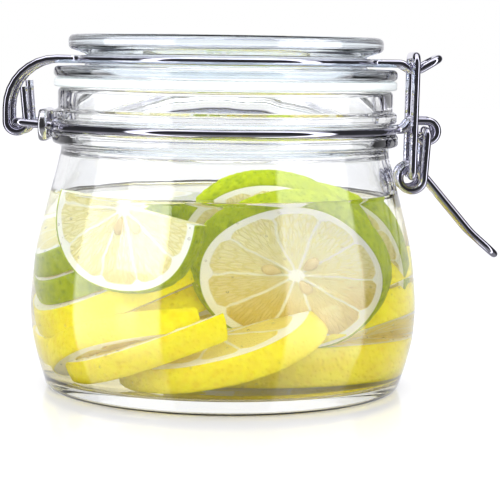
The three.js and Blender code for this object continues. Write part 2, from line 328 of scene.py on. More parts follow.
def glass_material(name, tint, wave):
    material, shader, w = new_material(name, {**CLEAR, "IOR": GLASS_INDEX})
    place = w.place()
    stretched = w.node("ShaderNodeMapping", {"Vector": place, "Scale": WAVE_STRETCH}).outputs["Vector"]
    waves = w.noise(stretched, 55.0, 1.5)
    amount = w.ramp(w.split(place)["Z"], *NECK_WAVES_Z, BODY_WAVES, 1.0)
    add_bump(w, shader, w.product(waves, amount), wave, WAVE_DEPTH)
    w.feed(shader.inputs["Base Color"], w.mix(w.product(waves, 0.3), tint, (1, 1, 1)))
    return material


def liquid_material():
    material, shader, w = new_material("clear infusion", {**CLEAR, "IOR": LIQUID_INDEX})
    # Painted light and shade: the liquid is yellower towards the bottom, which stands for the lemons'
    # golden light there.
    painted_gold_fade = w.ramp(w.split(w.place())["Z"], *PAINTED_GOLD_Z)
    w.feed(shader.inputs["Base Color"], w.mix(painted_gold_fade, (1.0, 0.92, 0.58), (1.0, 0.998, 0.96)))
    return material


def silicone_material():
    material, shader, w = new_material("translucent silicone", {
        "Base Color": (0.86, 0.9, 0.9, 1), "Transmission Weight": 0.55, "IOR": SILICONE_INDEX,
    })
    add_marks(w, shader, 700.0, 0.28, 0.2, 0.25)
    return material


JAR_GLASS = glass_material("clear jar glass", (0.975, 0.985, 0.99), 0.2)
LID_GLASS = glass_material("blue-green lid glass", (0.85, 0.92, 0.98), 0.25)
LIQUID = liquid_material()
SILICONE = silicone_material()

# %% [markdown]
# The wirework is bright drawn stainless steel. Drawing leaves hair-fine lines, too small to see from a
# step away, but they soften the reflections a little, so the roughness isn't the same all over.

# %% Steel
DULLED = 0.86


def steel_material(name, colour, roughness, spread, bump):
    material, shader, w = new_material(name, {"Metallic": 1.0})
    add_marks(w, shader, 1500.0, roughness, spread, bump)
    dull = w.ramp(w.noise(w.place(), 180.0, 3.0), 0.4, 0.7)
    w.feed(shader.inputs["Base Color"], w.mix(dull, colour, tuple(c * DULLED for c in colour)))
    return material


WIRE_STEEL = steel_material("bright drawn wire", (0.64, 0.63, 0.72), 0.04, 0.07, 0.05)
STRIP_STEEL = steel_material("bright steel strip", (0.8, 0.8, 0.82), 0.14, 0.16, 0.12)
print("materials so far:", [m.name for m in bpy.data.materials])

# %% [markdown]
# The jar is one pressed piece: a wide body, a neck with two beads, and a groove between them that holds
# the neck wire. The outline is given as corners and radii, as a mould maker would give it, and only the
# swelling side is a free curve. The underside is pushed up a little, so the jar stands on a ring. All
# lengths are in millimetres, and a bead is given by its radius and the heights of its two edges.

# %% The jar's glass
BODY_R = 55.0
WALL = 3.2
BASE_T = 4.5
NECK_R = 46.7
MOUTH_R = 43.2
LIP_R = 47.5
LIP_Z = 84.9
HEEL_R = 50.4
HEEL_ROUND = 2.4
INNER_HEEL_R = HEEL_R - WALL + 0.6
INNER_HEEL_ROUND = 3.0
FOOT_R = 45.0
PUSH_UP = 0.8
LOWER_BEAD = (49.1, 69.2, 72.7)
UPPER_BEAD = (48.7, 76.1, 78.8)
SIDE = smooth_side([
    (BODY_R - 2.1, 8.3), (BODY_R - 0.5, 15.5), (BODY_R, 24.6), (BODY_R - 1.1, 37.1),
    (BODY_R - 2.6, 44.6), (BODY_R - 5.1, 54.6), (BODY_R - 6.8, 60.6), (NECK_R, 67.0),
])


def inner_side(offset):
    """The inside of the wall, from the heel up, moved outwards by offset."""
    inside = [(r - WALL + offset, z) for r, z in SIDE[:-1]]
    return inside + [(MOUTH_R + offset, SIDE[-1][1])]


jar = turned("jar_body_glass", [
    (0, PUSH_UP), (FOOT_R - 3, PUSH_UP, 2), (FOOT_R, 0, 1.5), (HEEL_R, 0, HEEL_ROUND), *SIDE,
    (NECK_R, LOWER_BEAD[1] - 0.4), (LOWER_BEAD[0], LOWER_BEAD[1] + 0.4, 0.9),
    (LOWER_BEAD[0], LOWER_BEAD[2], 0.9), (NECK_R, LOWER_BEAD[2] + 0.3, 0.5),
    (NECK_R, UPPER_BEAD[1] - 0.5, 0.5), (UPPER_BEAD[0], UPPER_BEAD[1], 0.8),
    (UPPER_BEAD[0], UPPER_BEAD[2] - 0.3, 0.8), (LIP_R, UPPER_BEAD[2] + 0.4, 0.5),
    (LIP_R, LIP_Z, 1.1), (MOUTH_R, LIP_Z, 1.5),
    *reversed(inner_side(0)), (INNER_HEEL_R, BASE_T, INNER_HEEL_ROUND), (0, BASE_T),
], JAR_GLASS)
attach(jar, "jar")
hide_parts("jar_glass")
print("jar glass:", len(jar.data.polygons), "faces")

# %% [markdown]
# The lid is a pressed disc with a hollow under it, a plug that drops inside the mouth, a flange that
# sits on the gasket, and a groove for its own wire. The gasket is a flat ring with a slightly bulging
# edge, because the lid squeezes it.

# %% The lid's glass and the gasket
LID_TOP_R = 44.6
LID_TOP_LOW = 95.9
LID_TOP_Z = 99.8
RIM_INNER_R = LID_TOP_R - 8.0
DISH_Z = LID_TOP_Z - 1.2
LID_THICK = 5.4
LID_R = 48.7
FLANGE_LOW = 87.7
FLANGE_HIGH = 90.9
LID_GROOVE_R = 39.8
PLUG_R = 41.6
PLUG_Z = 86.2
HOLLOW_R = PLUG_R - 4.2
HOLLOW_Z = DISH_Z - LID_THICK

lid = turned("lid_pressed_glass", [
    (0, HOLLOW_Z), (HOLLOW_R - 2, HOLLOW_Z, 3), (HOLLOW_R, PLUG_Z, 0.6),
    (PLUG_R, PLUG_Z, 0.6), (PLUG_R, FLANGE_LOW, 0.4), (LID_R, FLANGE_LOW, 1.3), (LID_R, FLANGE_HIGH, 1.3),
    (LID_GROOVE_R, FLANGE_HIGH + 0.3, 0.6), (LID_GROOVE_R, LID_TOP_LOW - 1.5, 0.6),
    (LID_TOP_R, LID_TOP_LOW, 1.5), (LID_TOP_R, LID_TOP_Z, 1.6), (RIM_INNER_R, LID_TOP_Z, 2),
    (RIM_INNER_R - 3, DISH_Z, 2), (0, DISH_Z),
], LID_GLASS)
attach(lid, "lid")
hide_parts("lid_glass")

GASKET_IN = 42.3
GASKET_OUT = 48.6
GASKET_LOW = 85.2
GASKET_HIGH = 87.55
gasket = turned("gasket_ring", [
    (GASKET_IN, GASKET_LOW + 0.5), (GASKET_IN, GASKET_LOW, 0.3), (GASKET_OUT, GASKET_LOW, 0.6),
    (GASKET_OUT, GASKET_HIGH, 0.6), (GASKET_IN, GASKET_HIGH, 0.3), (GASKET_IN, GASKET_LOW + 0.5),
], SILICONE, closed=True)
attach(gasket, "lid")
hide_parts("gasket")
print("lid and gasket turned")

# %% [markdown]
# Wire follows a path, so it is made with Geometry Nodes: the tree takes a curve, sweeps a round section
# along it, closes the ends and sets the material. Its inputs are the radius, the number of sides and how
# flat the section is, so one tree serves all four wires and the strap of the clip.

# %% Geometry Nodes: wire along a path
SHARP_DEG = 50


def node_tree(name, inputs):
    tree = bpy.data.node_groups.new(name, "GeometryNodeTree")
    tree.interface.new_socket("Geometry", in_out="INPUT", socket_type="NodeSocketGeometry")
    ids = {}
    for label, kind, value in inputs:
        socket = tree.interface.new_socket(label, in_out="INPUT", socket_type=kind)
        if value is not None:
            socket.default_value = value
        ids[label] = socket.identifier
    tree.interface.new_socket("Geometry", in_out="OUTPUT", socket_type="NodeSocketGeometry")
    return tree, tree.nodes.new("NodeGroupInput"), tree.nodes.new("NodeGroupOutput"), ids


def chain(tree, *nodes):
    """Joins the first geometry output of each node to the first geometry input of the next."""
    for a, b in zip(nodes, nodes[1:]):
        out = next(s for s in a.outputs if s.type == "GEOMETRY")
        into = next(s for s in b.inputs if s.type == "GEOMETRY")
        tree.links.new(out, into)


def wire_tree():
    tree, given, out, ids = node_tree("wire along a path", [
        ("Radius", "NodeSocketFloat", 0.00115), ("Sides", "NodeSocketInt", 20),
        ("Flatness", "NodeSocketFloat", 1.0), ("Finish", "NodeSocketMaterial", None),
    ])
    section = tree.nodes.new("GeometryNodeCurvePrimitiveCircle")
    squash = tree.nodes.new("GeometryNodeTransform")
    sweep = tree.nodes.new("GeometryNodeCurveToMesh")
    smooth = tree.nodes.new("GeometryNodeSetShadeSmooth")
    realize = tree.nodes.new("GeometryNodeRealizeInstances")
    paint = tree.nodes.new("GeometryNodeSetMaterial")
    shape = tree.nodes.new("ShaderNodeCombineXYZ")
    tree.links.new(given.outputs["Sides"], section.inputs["Resolution"])
    tree.links.new(given.outputs["Radius"], section.inputs["Radius"])
    shape.inputs["X"].default_value = 1.0
    shape.inputs["Z"].default_value = 1.0
    tree.links.new(given.outputs["Flatness"], shape.inputs["Y"])
    tree.links.new(shape.outputs["Vector"], squash.inputs["Scale"])
    chain(tree, section, squash)
    tree.links.new(squash.outputs["Geometry"], sweep.inputs["Profile Curve"])
    sweep.inputs["Fill Caps"].default_value = True
    tree.links.new(given.outputs["Finish"], paint.inputs["Material"])
    chain(tree, given, sweep, smooth, realize, paint, out)
    return tree, ids


WIRE_TREE, WIRE_IDS = wire_tree()


def swept(name, points, material, cyclic=False, **settings):
    """Sweeps the wire section along points in millimetres and returns a plain mesh object."""
    curve = bpy.data.curves.new(name + "_path", "CURVE")
    curve.dimensions = "3D"
    spline = curve.splines.new("POLY")
    spline.points.add(len(points) - 1)
    for spot, p in zip(spline.points, points):
        spot.co = (p[0] * MM, p[1] * MM, p[2] * MM, 1)
    spline.use_cyclic_u = cyclic
    path = placed(name + "_path", curve)
    return grown(path, name, WIRE_TREE, WIRE_IDS, {"Finish": material, **settings})


def grown(source, name, tree, ids, settings):
    """Runs source through a node tree, makes the result a plain mesh object and removes source."""
    modifier = source.modifiers.new(tree.name, "NODES")
    modifier.node_group = tree
    for label, value in settings.items():
        modifier[ids[label]] = value
    graph = bpy.context.evaluated_depsgraph_get()
    mesh = bpy.data.meshes.new_from_object(source.evaluated_get(graph))
    mesh.name = name
    bpy.data.objects.remove(source)
    piece = placed(name, mesh)
    mesh.set_sharp_from_angle(angle=math.radians(SHARP_DEG))
    return piece


# %% [markdown]
# Each wire of the real jar is one length, bent on a jig. The near half is written down as straights and
# bends and the far half is its mirror image. The lid wire hooks round the hinge bar, runs half-way round
# the lid in its groove, and comes out on the other side as the tongue that the latch pulls down. A point
# is named by what the wire does there, and its X and Z stand on one line.

# %% The paths of the four wires
WIRE_R = 1.15
HINGE_X, HINGE_Z = -58.7, 75.1
LOOP_Y = 9.5
HOOK_R = 2.86
HOOK_Y = 6.5
FAR_HOOK_LONGER = 1.7
NECK_WIRE_R, NECK_WIRE_Z = 48.3, 74.1
LID_WIRE_R, LID_WIRE_Z = 41.4, 92.8
EYE_X, EYE_Z = 57.0, 73.9
EYE_Y = 5.5
ARM_Y = 8.1
COIL_X, COIL_Z = 52.8, 60.6
COIL_R = 3.36
BEND_X, BEND_Z = 70.0, 45.4
END_X, END_Z = 77.3, 39.0
HANDLE_Y = 5.5
LINK_TOP_X, LINK_TOP_Z = 53.2, 94.95
PIN_X, PIN_Z = 52.75, 61.3
LINK_Y = 10.65
REST_X, REST_Z = 53.0, 91.05
TIP_X, TIP_Z = 59.9, 94.3
ARC_STEP_DEG = 10
RING_POINTS = 49


def upright_arc(x, z, r, start, end, y_start, y_end=None):
    """Points of an arc round (x, z), which drifts from y_start to y_end like a coil."""
    y_end = y_start if y_end is None else y_end
    steps = math.ceil(abs(end - start) / ARC_STEP_DEG)
    out = []
    for k in range(steps + 1):
        u = k / steps
        a = math.radians(start + (end - start) * u)
        out.append((x + r * math.cos(a), y_start + (y_end - y_start) * u, z + r * math.sin(a)))
    return out


def near_half_ring(r, z, left_y, right_y, spare):
    """The near half of a ring, cut short by spare at both ends to leave room for a bend."""
    start = math.pi + math.asin((left_y + spare) / r)
    end = 2 * math.pi - math.asin((right_y + spare) / r)
    return [(r * math.cos(a), r * math.sin(a), z) for a in np.linspace(start, end, RING_POINTS)]


def both_halves(near, far=None):
    far = near if far is None else far
    return np.vstack([near[:-1], (far * [1, -1, 1])[::-1][1:]])


def lid_wire_half(end_z):
    reach = math.sqrt(LID_WIRE_R ** 2 - HOOK_Y ** 2)
    return rounded([
        (HINGE_X + HOOK_R - 0.9, -HOOK_Y, end_z),
        *upright_arc(HINGE_X, HINGE_Z, HOOK_R, 0, -180, -HOOK_Y),
        (HINGE_X - HOOK_R, -HOOK_Y, LID_WIRE_Z + 0.2, 14),
        (-reach, -HOOK_Y, LID_WIRE_Z, 3),
        *near_half_ring(LID_WIRE_R, LID_WIRE_Z, HOOK_Y, HOOK_Y, 3.4),
        (reach, -HOOK_Y, LID_WIRE_Z, 3),
        (REST_X - 3.6, -HOOK_Y, LID_WIRE_Z, 3),
        (REST_X - 0.6, -HOOK_Y, REST_Z, 2),
        (REST_X + 1.4, -HOOK_Y, REST_Z, 3),
        (TIP_X, -HOOK_Y, TIP_Z, 3),
        (TIP_X, 0, TIP_Z),
    ])


def neck_wire_half():
    exit_x = math.sqrt(NECK_WIRE_R ** 2 - EYE_Y ** 2)
    loop_x = math.sqrt(NECK_WIRE_R ** 2 - LOOP_Y ** 2)
    return rounded([
        *upright_arc(EYE_X, EYE_Z, HOOK_R, -140, 90, -EYE_Y),
        (exit_x + 4.5, -EYE_Y, EYE_Z + HOOK_R, 2),
        (exit_x + 2.6, -EYE_Y, NECK_WIRE_Z + 0.2, 2),
        (exit_x, -EYE_Y, NECK_WIRE_Z, 2.2),
        *reversed(near_half_ring(NECK_WIRE_R, NECK_WIRE_Z, LOOP_Y, EYE_Y, 3)),
        (-loop_x, -LOOP_Y, NECK_WIRE_Z, 2.4),
        (HINGE_X, -LOOP_Y, HINGE_Z, 2.4),
        (HINGE_X, 0, HINGE_Z),
    ])


def lever_half():
    away = math.degrees(math.atan2(BEND_X - COIL_X, COIL_Z - BEND_Z))
    return rounded([
        (EYE_X, -EYE_Y + 2.9, EYE_Z),
        (EYE_X, -ARM_Y, EYE_Z, 1.5),
        *upright_arc(COIL_X, COIL_Z, COIL_R, -3, away - 352, -ARM_Y, -HANDLE_Y),
        (BEND_X, -HANDLE_Y, BEND_Z, 20),
        (END_X, -HANDLE_Y, END_Z, 4.4),
        (END_X, 0, END_Z),
    ])


def link_half():
    return rounded([
        (PIN_X, -HANDLE_Y + 2.4, PIN_Z), (PIN_X, -LINK_Y, PIN_Z, 1.5),
        (LINK_TOP_X, -LINK_Y, LINK_TOP_Z, 2.6), (LINK_TOP_X, 0, LINK_TOP_Z),
    ])


# %% [markdown]
# Each path is swept into wire of the same thickness. The length that is printed is measured along the
# middle of the wire, which is the length that would be cut from the roll before bending.

# %% Sweep the wires
lid_wire_path = both_halves(lid_wire_half(LIP_Z), lid_wire_half(LIP_Z + FAR_HOOK_LONGER))
WIRES = [
    ("lid_wire_bent", lid_wire_path, "lid", "lid_wire"),
    ("neck_wire_bent", both_halves(neck_wire_half()), "jar", "neck_wire"),
    ("lever_bent", both_halves(lever_half()), "lever", "latch_lever"),
    ("link_bent", both_halves(link_half()), "link", "latch_link"),
]
for name, path, body, node in WIRES:
    piece = swept(name, path, WIRE_STEEL, Radius=WIRE_R * MM)
    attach(piece, body)
    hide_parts(node)
    length = np.linalg.norm(np.diff(path, axis=0), axis=1).sum()
    print(name, "is", round(length), "mm of wire,", len(piece.data.polygons), "faces")

# %% [markdown]
# The clip is a strip bent round both strands of the hinge loop. It could be an extruded outline, but it
# is the same job as the wire: a section swept along a closed path. So the wire tree makes it too, with a
# flattened section.

# %% The clip
CLIP_X = -51.0
CLIP_Z = (NECK_WIRE_Z + HINGE_Z) / 2 - 0.3
CLIP_THICK = 2.4
CLIP_HALF_W = 12.2
CLIP_HALF_H = 4.6
CLIP_STRAP = 1.1
mid_h = CLIP_HALF_H - CLIP_STRAP / 2
clip_path = []
for side in (1, -1):
    for a in np.radians(range(-90, 91, 10)):
        across = side * (CLIP_HALF_W - CLIP_HALF_H + mid_h * math.cos(a))
        clip_path.append((CLIP_X, across, CLIP_Z + side * mid_h * math.sin(a)))
clip = swept("hinge_clip_strap", clip_path, STRIP_STEEL, cyclic=True, Radius=CLIP_THICK / 2 * MM,
             Flatness=CLIP_STRAP / CLIP_THICK)
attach(clip, "jar")
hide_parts("hinge_clip")
print("clip:", [round(v / MM, 1) for v in clip.dimensions], "mm")

# %% [markdown]
# A cut face of citrus has a pattern that follows a rule: thin membranes run from the core to the pith,
# and between them are juice sacs, long drops that point to the core. Painting it would need an image, so
# it is worked out in a node group from two attributes of the mesh: where a point lies in its own slice,
# and how many segments that fruit has. Lemon and lime use the same group with other colours. Lengths in
# the group are parts of the slice's radius.

# %% Shared node group: the cut face of a citrus fruit
CORE_EDGE = (0.07, 0.1)
PITH_BLEND = 0.018
PEEL_BLEND = 0.012
SACS_ROUND = 110.0
SACS_DEEP = 6.0


def cut_face_group():
    tree, given, out = group_tree(
        "citrus cut face",
        {"Pith Start": 0.84, "Peel Start": 0.965, "Membrane": 0.03},
        ("Flesh", "Peel", "Sacs", "Height"),
    )
    pith_start, peel_start, membrane = given.outputs[0], given.outputs[1], given.outputs[2]
    w = Wiring(tree)
    where = w.node("ShaderNodeAttribute", attribute_name="in_slice").outputs["Vector"]
    spot = w.split(where)
    facts = w.split(w.node("ShaderNodeAttribute", attribute_name="fruit").outputs["Vector"])
    segments, seed, on_rim = facts["X"], facts["Y"], facts["Z"]
    reach = w.math("SQRT", w.total(w.product(spot["X"], spot["X"]), w.product(spot["Y"], spot["Y"])))
    wobble = w.node("ShaderNodeTexNoise", {"Vector": where, "W": seed, "Scale": 2.2, "Detail": 2.0},
                    noise_dimensions="4D").outputs["Fac"]
    wobble = w.less(wobble, 0.5)
    turn = w.math("DIVIDE", w.math("ARCTAN2", spot["Y"], spot["X"]), 2 * math.pi)
    lane = w.math("MULTIPLY_ADD", w.total(turn, 1.0), segments, w.product(wobble, 0.5))
    off_middle = w.math("ABSOLUTE", w.less(w.math("FRACT", lane), 0.5))
    lane_width = w.math("DIVIDE", w.product(reach, 2 * math.pi), segments)
    gap = w.product(w.less(0.5, off_middle), lane_width)
    wavy = w.math("MULTIPLY_ADD", wobble, 0.045, reach)
    edge = w.less(pith_start, w.ramp(off_middle, 0.3, 0.5, 0.0, 0.05))
    not_core = w.ramp(wavy, *CORE_EDGE)
    not_pith = w.ramp(wavy, edge, w.total(edge, PITH_BLEND), 1.0, 0.0)
    off_membrane = w.ramp(gap, w.product(membrane, 0.2), membrane, 0.3, 1.0)
    flesh = w.product(not_core, not_pith, off_membrane)
    peel = w.math("MAXIMUM", w.ramp(reach, peel_start, w.total(peel_start, PEEL_BLEND)), on_rim)
    polar = w.node("ShaderNodeCombineXYZ", {"X": w.product(turn, SACS_ROUND),
                                            "Y": w.product(reach, SACS_DEEP), "Z": seed})
    cells = w.node("ShaderNodeTexVoronoi", {"Vector": polar.outputs["Vector"], "Scale": 1.0,
                                            "Randomness": 0.9}, feature="DISTANCE_TO_EDGE")
    sacs = w.ramp(cells.outputs["Distance"], 0.02, 0.2)
    w.feed(out.inputs["Flesh"], flesh)
    w.feed(out.inputs["Peel"], peel)
    w.feed(out.inputs["Sacs"], sacs)
    w.feed(out.inputs["Height"], w.product(sacs, flesh))
    return tree


CUT_FACE = cut_face_group()

# %% [markdown]
# Peel is waxy and full of oil glands: small round dimples about a millimetre apart. Another group makes
# them from the distance to scattered points, with a soft mottling of the colour.

# %% Shared node group: peel
def peel_group():
    tree, given, out = group_tree("citrus peel", {"Gland Size": 850.0}, ("Mottle", "Pits"))
    w = Wiring(tree)
    place = w.place()
    glands = w.node("ShaderNodeTexVoronoi", {"Vector": place, "Scale": given.outputs["Gland Size"]},
                    feature="SMOOTH_F1")
    w.feed(out.inputs["Pits"], w.ramp(glands.outputs["Distance"], 0.05, 0.55))
    w.feed(out.inputs["Mottle"], w.ramp(w.noise(place, 420.0, 3.0), 0.3, 0.7))
    return tree


PEEL = peel_group()

# %% [markdown]
# Wet fruit lets light in a little way, so its shader has some subsurface, and a faint glow stands for the
# light that the liquid and the glass pass on. Low in the jar the flesh is painted golden in soft patches:
# painted yellow light and shade from the lemons below, on top of some soaked-up liquid.

# %% Lemon and lime
FRUIT = {
    "Emission Strength": 0.1, "Subsurface Weight": 0.35, "Subsurface Radius": (1.0, 0.9, 0.35),
    "Subsurface Scale": 3 * MM, "IOR": 1.4, "Specular IOR Level": 0.04,
}
MEMBRANE = 0.026
# Painted light: between these heights the flesh fades from a golden tint, which stands for the lemons'
# yellow light and shade.
LEMON_LIGHT_AND_SOAK_Z = (18 * MM, 44 * MM)
FRUIT_RELIEF = 0.5 * MM


def citrus_material(name, peel_light, peel_dark, pith, flesh_light, flesh_deep, lemon_light_and_soak_tint, pith_start):
    material, shader, w = new_material(name, FRUIT)
    face = w.node("ShaderNodeGroup", {"Membrane": MEMBRANE, "Pith Start": pith_start},
                  node_tree=CUT_FACE).outputs
    skin = w.node("ShaderNodeGroup", node_tree=PEEL).outputs
    place = w.place()
    # Painted light and shade: the flesh turns golden towards the bottom of the jar, for yellow light
    # bounced from the lemons below, on top of some soaking. Noise makes it patchy.
    low = w.ramp(w.split(place)["Z"], *LEMON_LIGHT_AND_SOAK_Z, 1.0, 0.0)
    lemon_light_and_soak_amount = w.product(low, w.ramp(w.noise(place, 45.0, 1.0), 0.35, 0.6, 0.45, 1.0))
    flesh = w.mix(lemon_light_and_soak_amount, w.mix(face["Sacs"], flesh_deep, flesh_light), lemon_light_and_soak_tint)
    inner = w.mix(face["Flesh"], pith, flesh)
    rind = w.mix(skin["Mottle"], peel_dark, peel_light)
    rind = w.mix(w.product(skin["Pits"], 0.6), rind, peel_light)
    colour = w.mix(face["Peel"], inner, rind)
    w.feed(shader.inputs["Base Color"], colour)
    w.feed(shader.inputs["Emission Color"], colour)
    w.feed(shader.inputs["Roughness"], w.ramp(face["Peel"], 0.0, 1.0, 0.28, 0.38))
    height = w.total(w.product(face["Height"], 0.6), w.product(skin["Pits"], face["Peel"], 0.5))
    add_bump(w, shader, height, 0.7, FRUIT_RELIEF)
    return material


LEMON_SKIN = citrus_material(
    "lemon", peel_light=(0.95, 0.87, 0.010), peel_dark=(0.87, 0.70, 0.004), pith=(0.96, 0.95, 0.88),
    flesh_light=(0.95, 0.88, 0.40), flesh_deep=(0.92, 0.80, 0.24), lemon_light_and_soak_tint=(0.92, 0.80, 0.20),
    pith_start=0.775,
)
LIME_SKIN = citrus_material(
    "lime", peel_light=(0.42, 0.50, 0.003), peel_dark=(0.22, 0.31, 0.002), pith=(0.94, 0.95, 0.86),
    flesh_light=(0.90, 0.86, 0.52), flesh_deep=(0.82, 0.77, 0.36), lemon_light_and_soak_tint=(0.64, 0.47, 0.02),
    pith_start=0.88,
)

# %% [markdown]
# A slice is modelled with its relief: the peel bulges, the pith stands a little proud, the flesh between
# the membranes sinks, and no rim is a perfect circle. The mesh is a polar grid with more rings near the
# edge, where the shape changes. Two attributes carry each point's place in its slice to the materials.

# %% Cutting a slice
SLICE_TURNS = 144
KNIFE_MARK = 0.13
LUMPS = 3
LUMP_SIZE = (0.004, 0.014)
LUMP_COUNT = (2, 5)
ANY_ANGLE = (0, 6.3)
FLESH_DROP = 0.28
RINGS = [0.0, 0.05, 0.12, 0.22, 0.34, 0.46, 0.58, 0.68, 0.77, 0.84, 0.88, 0.92, 0.955, 0.98]
RIM_HALF = [(0.993, 0.93), (1.0, 0.75), (1.006, 0.4)]
RIM_STEPS = [*RIM_HALF, (1.008, 0.0), *[(reach, -height) for reach, height in reversed(RIM_HALF)]]


def slice_mesh(at, facing, radius, thick, taper, segments, seed):
    """Vertices, faces and attributes of one slice, given in millimetres."""
    chance = random.Random(seed)
    n = Vector(facing).normalized()
    side = n.cross(Vector((0, 0, 1))).normalized() if abs(n.z) < 0.999 else Vector((1, 0, 0))
    up = n.cross(side)
    wave = [(chance.uniform(*LUMP_SIZE), chance.randint(*LUMP_COUNT), chance.uniform(*ANY_ANGLE))
            for _ in range(LUMPS)]
    spin = chance.uniform(*ANY_ANGLE)
    verts, where, facts = [], [], []

    def put(reach, angle, height, on_rim):
        lump = 1 + sum(size * math.sin(count * angle + phase) for size, count, phase in wave)
        tooth = chance.uniform(-KNIFE_MARK, KNIFE_MARK) if on_rim else 0
        size = (reach * lump * radius + tooth) * (1 - taper * 2 * height / thick)
        u, v = size * math.cos(angle), size * math.sin(angle)
        verts.append((Vector(at) + side * u + up * v + n * height) * MM)
        where.append((reach * math.cos(angle + spin), reach * math.sin(angle + spin), height / radius))
        facts.append((segments, seed * 3.7, on_rim))
        return len(verts) - 1

    def flesh_drop(reach, angle):
        lane = ((angle + spin) / (2 * math.pi) * segments) % 1.0
        off_membrane = min(1.0, min(lane, 1 - lane) * 5)
        off_pith = min(1.0, max(0.0, (0.86 - reach) * 9))
        off_core = min(1.0, reach * 5)
        return FLESH_DROP * (off_membrane * off_pith * off_core)

    def face_ring(reach, way):
        spots = angles if reach else angles[:1]
        return [put(reach, a, way * (thick / 2 - flesh_drop(reach, a)), 0.0) for a in spots]

    angles = [2 * math.pi * k / SLICE_TURNS for k in range(SLICE_TURNS)]
    top = [face_ring(reach, 1) for reach in RINGS]
    bottom = [face_ring(reach, -1) for reach in RINGS]
    rim = [[put(reach, a, h * thick / 2, 1.0 if abs(h) < 0.9 else 0.5) for a in angles]
           for reach, h in RIM_STEPS]
    loops = top + rim + bottom[::-1]
    faces = []
    for a, b in zip(loops, loops[1:]):
        for k in range(SLICE_TURNS):
            on = (k + 1) % SLICE_TURNS
            if len(a) == 1:
                faces.append((a[0], b[k], b[on]))
            elif len(b) == 1:
                faces.append((a[k], b[0], a[on]))
            else:
                faces.append((a[k], b[k], b[on], a[on]))
    return verts, faces, where, facts


# %% [markdown]
# How the slices lie is read from the photograph: a stack of limes leans on the front at the right, half a
# lime floats at the left, and the lemons lie below, each resting on the last. Each row gives the middle
# of a slice, the way its face looks, its radius and thickness in millimetres, how much it tapers, and
# where it is cut if it isn't whole.

# %% The slices
LEFT_LEAN = (-0.43, 0.03, 0.9)
RIGHT_LEAN = (0.03, -0.84, -0.54)
LEFT_FOOT = (-20, -2.5, 29)
RIGHT_FRONT = (17.6, -23, 36)
HALF_LIME = (-23.4, -28, 52)
HALF_LIME_FACING = (-0.52, -0.85, 0.04)
END_CUT = (0.75, 0.66, 0)
SEGMENTS = {"lemon": 9, "lime": 10}
SLICE_SHARP_DEG = 60


def stacked(at, lean, distance, aside=(0, 0, 0)):
    return tuple(Vector(at) + Vector(lean).normalized() * distance + Vector(aside))


SLICES = [
    ("lemon", (15, 13, 10.2), (0, 0, 1), 27, 10, 0, None),
    ("lemon", (0, -18.5, 15.6), (-0.26, -0.19, 0.945), 24, 6.6, 0.05, None),
    ("lemon", (-13, -17, 16.8), (-0.36, 0.02, 0.93), 25, 6.6, 0, (*END_CUT, -2.4)),
    ("lemon", (-18, -12, 15.8), (-0.14, 0.3, 0.945), 24, 6.4, 0, (*END_CUT, -2.6)),
    ("lemon", stacked(LEFT_FOOT, LEFT_LEAN, -7.6, (2, 9, 0)), LEFT_LEAN, 25, 7, 0, None),
    ("lemon", LEFT_FOOT, LEFT_LEAN, 25, 7, 0, None),
    ("lime", stacked(LEFT_FOOT, LEFT_LEAN, 7.5), LEFT_LEAN, 22.5, 7, 0, None),
    ("lime", stacked(LEFT_FOOT, LEFT_LEAN, 15.2), LEFT_LEAN, 22, 7, 0, None),
    ("lemon", (28, 6, 19.5), (-0.3, 0.12, 0.945), 20.5, 8, 0, None),
    ("lemon", (29, 4.5, 27.8), (-0.38, 0.12, 0.915), 19.5, 7.5, 0, None),
    ("lime", HALF_LIME, HALF_LIME_FACING, 22.4, 5.4, 0, (0.2, 0, 1, 0.5)),
    ("lime", RIGHT_FRONT, RIGHT_LEAN, 24.6, 5.6, 0.04, None),
    ("lime", (12.5, -14.5, 42.2), RIGHT_LEAN, 23.6, 5.6, 0.02, None),
    ("lime", (24, -6, 39), (-0.08, -0.84, -0.53), 22.5, 6, 0.02, None),
    ("lime", (2, 12, 31), (0.1, -0.8, -0.55), 22, 6, 0, None),
]


def halve(piece, at, cut):
    """Cuts a slice with a flat plane, given by its facing and its distance from the middle."""
    bm = bmesh.new()
    bm.from_mesh(piece.data)
    away = Vector(cut[:3]).normalized()
    bmesh.ops.bisect_plane(bm, geom=bm.verts[:] + bm.edges[:] + bm.faces[:],
                           plane_co=(Vector(at) + away * cut[3]) * MM, plane_no=away, clear_outer=True)
    open_edges = [e for e in bm.edges if e.is_boundary]
    bmesh.ops.triangle_fill(bm, edges=open_edges, use_beauty=True)
    bmesh.ops.recalc_face_normals(bm, faces=bm.faces[:])
    bm.to_mesh(piece.data)
    bm.free()


def cut_slices(kind, material):
    made = []
    for seed, (fruit, at, facing, radius, thick, taper, cut) in enumerate(SLICES):
        if fruit != kind:
            continue
        verts, faces, where, facts = slice_mesh(at, facing, radius, thick, taper, SEGMENTS[kind], seed + 1)
        piece = new_piece(f"{kind}_slice_{seed}", verts, faces, material, SLICE_SHARP_DEG)
        for label, values in (("in_slice", where), ("fruit", facts)):
            attribute = piece.data.attributes.new(label, "FLOAT_VECTOR", "POINT")
            attribute.data.foreach_set("vector", [c for v in values for c in v])
        if cut:
            halve(piece, at, cut)
        made.append(piece)
    return joined(f"{kind}_slices", made)


def joined(name, parts):
    with bpy.context.temp_override(active_object=parts[0], selected_editable_objects=parts):
        bpy.ops.object.join()
    parts[0].name = name
    parts[0].data.name = name
    return parts[0]


lemons = cut_slices("lemon", LEMON_SKIN)
limes = cut_slices("lime", LIME_SKIN)
for piece in (lemons, limes):
    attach(piece, "jar")
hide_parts("citrus_slices")
print("slices:", len(lemons.data.polygons), "and", len(limes.data.polygons), "faces")

